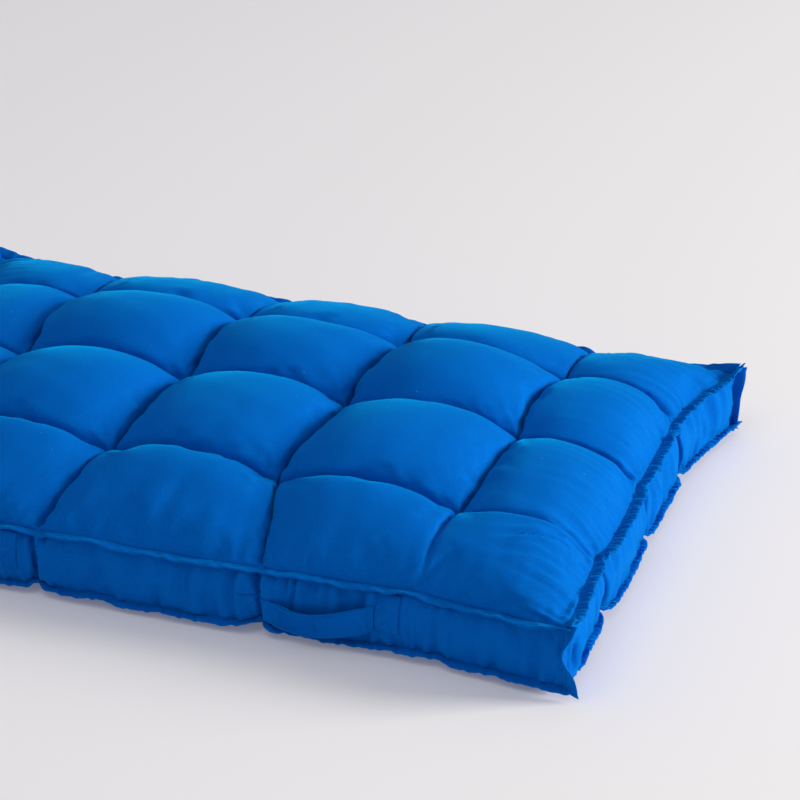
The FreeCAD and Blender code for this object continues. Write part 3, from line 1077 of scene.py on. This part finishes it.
def makeCornerFlange(corner):
    side, (twistHigh, twistLow, phase, turned), foot = cornerFacts[corner]
    line = wallsFine[side][0][-1]
    out = sideFacts[side][0]
    following = {"front": "right", "right": "back", "back": "left", "left": "front"}[side]
    diagonal = (out + sideFacts[following][0]).normalized()
    lowest = line[0] + np.array(diagonal) * 0.003 - (0, 0, flange["reachBelow"])
    highest = line[-1] + np.array(diagonal) * 0.003 + (0, 0, flange["reachAbove"])
    roots, at = evenly(np.concatenate([[lowest], line, [highest]]), flange["cornerStep"])
    share = at / at[-1]
    twist = turned + twistHigh * np.sin(share * 5.4 + phase) * (0.4 + 0.6 * share)
    twist = twist + twistLow * (1 - share) ** 2
    d = np.stack([diagonal.x * np.cos(twist) - diagonal.y * np.sin(twist),
                  diagonal.x * np.sin(twist) + diagonal.y * np.cos(twist), 0.25 * (share - 0.4)], axis=1)
    d = unit(d)
    n = unit(np.cross(d, (0, 0, 1.0)))
    swelling = 1.0 + 0.10 * np.sin(share * 9 + phase) + foot * (1 - share) ** 1.5
    wide = flange["topWidth"]["front"] * flange["cornerShare"] * swelling[:, None]
    tips, curl = 0.0018 * np.sin(share * 11 + phase), 0.001 * np.sin(share * 7)
    build = Build()
    ribbon(build, roots, d * wide, n, at, np.stack([0 * share, tips], axis=1), curl)
    for face in (1, -1):
        rise = (tips + curl) * flange["stitchAt"] ** 2 + face * flange["stitchLift"]
        stitchLine = roots + d * wide * flange["stitchAt"] + n * rise[:, None]
        stitchRun(build, stitchLine[2:-2], n[2:-2] * face, *stitch["seam"])
    piece = build.piece("seam_" + corner + "_corner_flange", [flangeCotton, threadCotton])
    finished(piece, "mattress", "flange_cotton", corner + "_corner_flange")
    return roots + d * wide


ribbonTips = {corner: makeCornerFlange(corner) for corner in cornerFacts}
print("flanges sewn on")


# ---- loose threads ----
frayed = {
    "count": 7,
    "radius": 0.00022,
    "long": (0.006, 0.013),
}


def makeFrayedThreads():
    tips = ribbonTips["front_right"]
    draw = random.Random(5)
    build = Build()
    for k in range(frayed["count"]):
        start = Vector(tips[int(len(tips) * (0.50 + 0.05 * k)) % len(tips)])
        away = Vector((draw.uniform(0.2, 1), draw.uniform(-0.9, -0.1), draw.uniform(-0.7, 0.4)))
        away.normalize()
        long = draw.uniform(*frayed["long"])
        sag = Vector((draw.uniform(-0.3, 0.3), draw.uniform(-0.2, 0.2), -0.7)) * long
        path = [start - away * 0.001 + away * long * t + sag * t * t for t in (0, 0.2, 0.4, 0.6, 0.8, 1.0)]
        tube(build, path, frayed["radius"], 5)
    finished(build.piece("seam_frayed_threads", [threadCotton]), "mattress", "flange_cotton")


makeFrayedThreads()


# ---- carry handles ----
handle = {
    "sag": 0.013,
    "bulge": 0.0125,
    "wide": 0.035,
    "thickness": 0.0022,
    "reachLong": 0.035,      # length over which the limp strap turns at each end
    "hem": 0.0030,           # stitch line in from the strap's edges
    "inset": 0.0035,         # box stitch in from the patch's edges
    "patchThickness": 0.0014,
    "columns": 57,
    "rows": 15,
    "over": 0.0030,          # least height of the strap's outer face over the wall
    "flush": 0.0032,         # the same where it meets its ends
    "proud": 0.00018,        # how far the box stitches stand off the cloth
    "hemProud": 0.00016,
}


def treeOf(grid):
    return BVHTree.FromPolygons(grid.reshape(-1, 3).tolist(), gridFaces(*grid.shape[:2]).tolist())


wallTrees = {side: treeOf(wallsFine[side][0]) for side in ("front", "back")}


def struck(tree, out, x, z):
    hit = tree.ray_cast(Vector((x, out.y, z)), -out)[0]
    if hit is None:                        # the ray slipped between two faces
        hit = tree.find_nearest(Vector((x, out.y * halfWidth, z)))[0]
    return hit


def onWall(side, x, z, spread=0.005):
    out = sideFacts[side][0]
    spots = []
    for dx, dz in ((0, 0), (spread, 0), (-spread, 0), (0, spread), (0, -spread)):
        height = min(max(z + dz, lowSeam + 0.004), topSeam - 0.004)
        spots.append(struck(wallTrees[side], out, x + dx, height).y * out.y)
    return max(spots[0], sum(spots) / len(spots))


def centre(box):
    return (box[0] + box[1]) / 2


def bandPiece(name, grid, flat):
    piece = gridPiece(name, grid, flat, strapCotton)
    facing = sum(f.normal.y * f.area for f in piece.data.polygons)
    if facing * grid[..., 1].mean() < 0:
        piece.data.flip_normals()
    return piece


def joinBuild(piece, build, name):
    made = build.piece(name + "_stitches", [threadCotton])
    piece.data.materials.append(threadCotton)
    made.data.polygons.foreach_set("material_index", [0] * len(made.data.polygons))
    bpy.ops.object.select_all(action="DESELECT")
    made.select_set(True)
    piece.select_set(True)
    bpy.context.view_layer.objects.active = piece
    bpy.ops.object.join()
    piece.select_set(False)


def makeStrapEnd(label, side, box):
    out = sideFacts[side][0]
    mid = centre(box)
    # the sewn end is a full width patch whose edges are turned under
    long, wide = box[1].x - box[0].x, handle["wide"]
    columns, rows = 29, 37
    above = (topSeam - 0.004 - mid.z) / wide - 0.5 if "high" in label else 0
    insetX, insetZ = long / 2 - handle["inset"], wide / 2 - handle["inset"]
    grid, flat = np.zeros((columns, rows, 3)), np.zeros((columns, rows, 2))
    for i in range(columns):
        for j in range(rows):
            u, v = i / (columns - 1) - 0.5, j / (rows - 1) * (1 + above) - 0.5
            x, z = mid.x + u * long, mid.z + v * wide
            edge = min((0.5 - abs(u)) * long, (v + 0.5) * wide, (0.5 + above - v) * wide)
            # the box stitch and its cross draw the layers together
            fromBox = min(abs(abs(u) * long - insetX), abs(abs(v) * wide - insetZ))
            fromCross = abs(abs(u * long / insetX) - abs(v * wide / insetZ)) * insetX * 0.7
            fromStitch = min(fromBox, fromCross) if abs(v) < 0.5 else fromBox
            lift = 0.0008 + 0.0024 * min(max(edge, 0) / 0.0018, 1) ** 0.5
            lift -= 0.0011 * bump(fromStitch, 0, 0.0016)
            y = onWall(side, x, z) + lift
            grid[i, j] = (x, out.y * y, z)
            flat[i, j] = (u * long + 0.3, v * wide)
    piece = bandPiece("handle_" + label, grid, flat)
    applied(piece, "SOLIDIFY", thickness=handle["patchThickness"], offset=-1.0)
    build = Build()
    tree = treeOf(grid)
    corners = [(-insetX, -insetZ), (insetX, -insetZ), (insetX, insetZ), (-insetX, insetZ)]
    for k, m in ((0, 1), (1, 2), (2, 3), (3, 0), (0, 2), (1, 3)):
        a, b = corners[k], corners[m]
        line = []
        for t in np.linspace(0, 1, 24):
            x, z = mid.x + a[0] + (b[0] - a[0]) * t, mid.z + a[1] + (b[1] - a[1]) * t
            hit = struck(tree, out, x, z)
            line.append((hit.x, hit.y + out.y * handle["proud"], hit.z))
        stitchRun(build, line, np.tile(np.array(out), (24, 1)), *stitch["strap"], 0)
    joinBuild(piece, build, "handle_" + label)
    finished(piece, "mattress", "strap_cotton", label)


def makeStrap(name, side):
    out = sideFacts[side][0]
    low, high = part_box(name + "_low_end"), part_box(name + "_high_end")
    along = 1 if high[0].x > low[0].x else -1
    startX = low[1].x if along > 0 else low[0].x
    endX = high[0].x if along > 0 else high[1].x
    startZ, endZ = centre(low).z, centre(high).z
    wide = handle["wide"]
    columns, rows = handle["columns"], handle["rows"]
    grid, flat = np.zeros((columns, rows, 3)), np.zeros((columns, rows, 2))
    shares = [0.5 - 0.5 * math.cos(math.pi * k / (columns - 1)) for k in range(columns)]
    shares = [0.6 * s + 0.4 * k / (columns - 1) for k, s in enumerate(shares)]
    for i, u in enumerate(shares):
        drop = handle["sag"] * (math.sin(math.pi * u**0.9)) ** 0.9
        x = startX + (endX - startX) * u
        z = startZ + (endZ - startZ) * u - drop
        settle = ease(min(u, 1 - u) / 0.16)
        off = handle["bulge"] * math.sin(math.pi * u) ** 0.7 * settle
        fall = handle["sag"] * math.pi * math.cos(math.pi * u) * 0.9
        turn = math.atan((endZ - startZ - fall) / abs(endX - startX)) * settle
        fold = 0.0035 * bump(u, 0.93, 0.02) - 0.0015 * bump(u, 0.97, 0.012)
        toEnd = ease((u - 0.15) / 0.7)
        for j in range(rows):
            v = j / (rows - 1) - 0.5
            px = x - along * math.sin(turn) * v * wide
            pz = z + math.cos(turn) * v * wide
            edge = (0.5 - abs(v)) * wide
            groove = 0.0004 * bump(edge, handle["hem"], 0.0010)
            ripple = 0.0005 * math.sin(u * 21 + v * 3) + 0.0008 * math.sin(u * 8.3 + v * 7 + 1)
            lean = 0.0045 * v * math.sin(math.pi * u)
            rest = onWall(side, px, pz) + handle["over"] if min(u, 1 - u) < 0.3 else 0
            atStart, atEnd = onWall(side, startX, startZ + v * wide), onWall(side, endX, endZ + v * wide)
            flush = atStart * (1 - toEnd) + atEnd * toEnd + handle["flush"]
            y = max(flush + off + lean + ripple * settle + fold, rest if settle < 1 else 0) - groove
            y = y if settle > 0 else flush - groove
            grid[i, j] = (px, out.y * y, pz)
            flat[i, j] = (u * 0.155, v * wide)
    middle = columns // 2
    for half, rowsOf in (("low", slice(0, middle + 1)), ("high", slice(middle, columns))):
        part, partFlat = grid[rowsOf], flat[rowsOf]
        label = "handle_" + name + "_strap_" + half
        piece = bandPiece(label, part, partFlat)
        applied(piece, "SOLIDIFY", thickness=handle["thickness"], offset=-1.0)
        build = Build()
        hemRow = handle["hem"] / wide * (rows - 1)
        for j in (hemRow, rows - 1 - hemRow):
            j0, f = int(j), j - int(j)
            line = part[:, j0] * (1 - f) + part[:, j0 + 1] * f
            line = line + np.array(out) * handle["hemProud"]
            stitchRun(build, line, np.tile(np.array(out), (len(line), 1)), *stitch["strap"], 0)
        joinBuild(piece, build, label)
        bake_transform(piece)
        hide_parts(name + "_strap")


for name in ("front_right_handle", "front_left_handle", "back_right_handle", "back_left_handle"):
    side = name.split("_")[0]
    for end in ("low", "high"):
        makeStrapEnd(name + "_" + end + "_end", side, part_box(name + "_" + end + "_end"))
    makeStrap(name, side)
print("handles sewn on")


# ---- tufting twine ----
tuft = {
    "strand": 0.00085,
    "turn": 0.0065,          # length of one turn of the two strands
    "knot": 0.0021,
}


def makeTie(i, j):
    low, high = tieBoxes[i][j]
    x, y = (low.x + high.x) / 2, (low.y + high.y) / 2
    bottom, top = low.z + 0.0035, high.z - 0.0035
    build = Build()
    for phase in (0, math.pi):
        steps = int((top - bottom) / tuft["turn"] * 8)
        path = []
        for k in range(steps + 1):
            a = phase + 2 * math.pi * k / 8
            path.append((x + tuft["strand"] * math.cos(a), y + tuft["strand"] * math.sin(a),
                         bottom + (top - bottom) * k / steps))
        tube(build, path, tuft["strand"], 6)
    for z, lean in ((bottom, 0.6), (top, -0.5)):
        path = []
        for k in range(31):
            a = 2 * math.pi * 2.5 * k / 30
            path.append((x + tuft["knot"] * math.cos(a), y + tuft["knot"] * math.sin(a) * 0.9,
                         z + 0.0012 * math.sin(a * 0.8 + lean) + 0.0009 * (k / 15 - 1)))
        tube(build, path, tuft["strand"] * 1.15, 6)
    piece = build.piece("tufting_twine_%d_%d" % (i + 1, j + 1), [twine])
    finished(piece, "mattress", "tufting_twine", "tuft_tie_%d_%d" % (i + 1, j + 1))


for i in range(4):
    for j in range(3):
        makeTie(i, j)
print("tufts tied")


# ---- floor and light ----
studio = {
    "floor": (0.82, 0.79, 0.795),
    "floorGlow": 0.14,       # lightens the shadows on the floor
    "world": (0.85, 0.88, 0.96),
    "worldStrength": 0.46,
    "key": {"spot": (7.9, 2.6, 2.5), "aim": (0.1, 0.0, 0.1), "size": 2.8, "power": 940,
            "tint": (1.0, 0.985, 0.90)},
    "fill": {"spot": (-0.4, -2.4, 5.0), "aim": (0.0, 0.0, 0.0), "size": 3.0, "power": 34,
             "tint": (0.95, 0.97, 1.0)},
}


def makeFloor():
    bpy.ops.mesh.primitive_plane_add(size=24, location=(0, 0, 0))
    floor = bpy.context.object
    floor.name = "floor"
    material, tree, shader, place = newMaterial("paleFloor")
    pale = (*studio["floor"], 1)
    cloud = noise(tree, place["Object"], 0.8, 2.0)
    tone = blended(tree, cloud.outputs[0], (*[c * 0.985 for c in studio["floor"]], 1), pale)
    linked(tree, shader, {"Base Color": tone, "Roughness": 0.6, "Specular IOR Level": 0.2,
                          "Emission Color": pale, "Emission Strength": studio["floorGlow"]})
    floor.data.materials.append(material)
    floor.select_set(False)


def makeLight(name, facts):
    bpy.ops.object.light_add(type="AREA", location=facts["spot"])
    lamp = bpy.context.object
    lamp.name = name
    lamp.data.size = facts["size"]
    lamp.data.energy = facts["power"]
    lamp.data.color = facts["tint"]
    aim = Vector(facts["aim"]) - Vector(facts["spot"])
    lamp.rotation_euler = aim.to_track_quat("-Z", "Y").to_euler()
    lamp.select_set(False)


def makeSky():
    world = bpy.data.worlds.new("studio")
    world.use_nodes = True
    back = world.node_tree.nodes["Background"]
    back.inputs["Color"].default_value = (*studio["world"], 1)
    back.inputs["Strength"].default_value = studio["worldStrength"]
    bpy.context.scene.world = world


makeFloor()
makeSky()
makeLight("keyLight", studio["key"])
makeLight("fillLight", studio["fill"])
bpy.context.scene.view_settings.view_transform = "Standard"
print("studio lit")
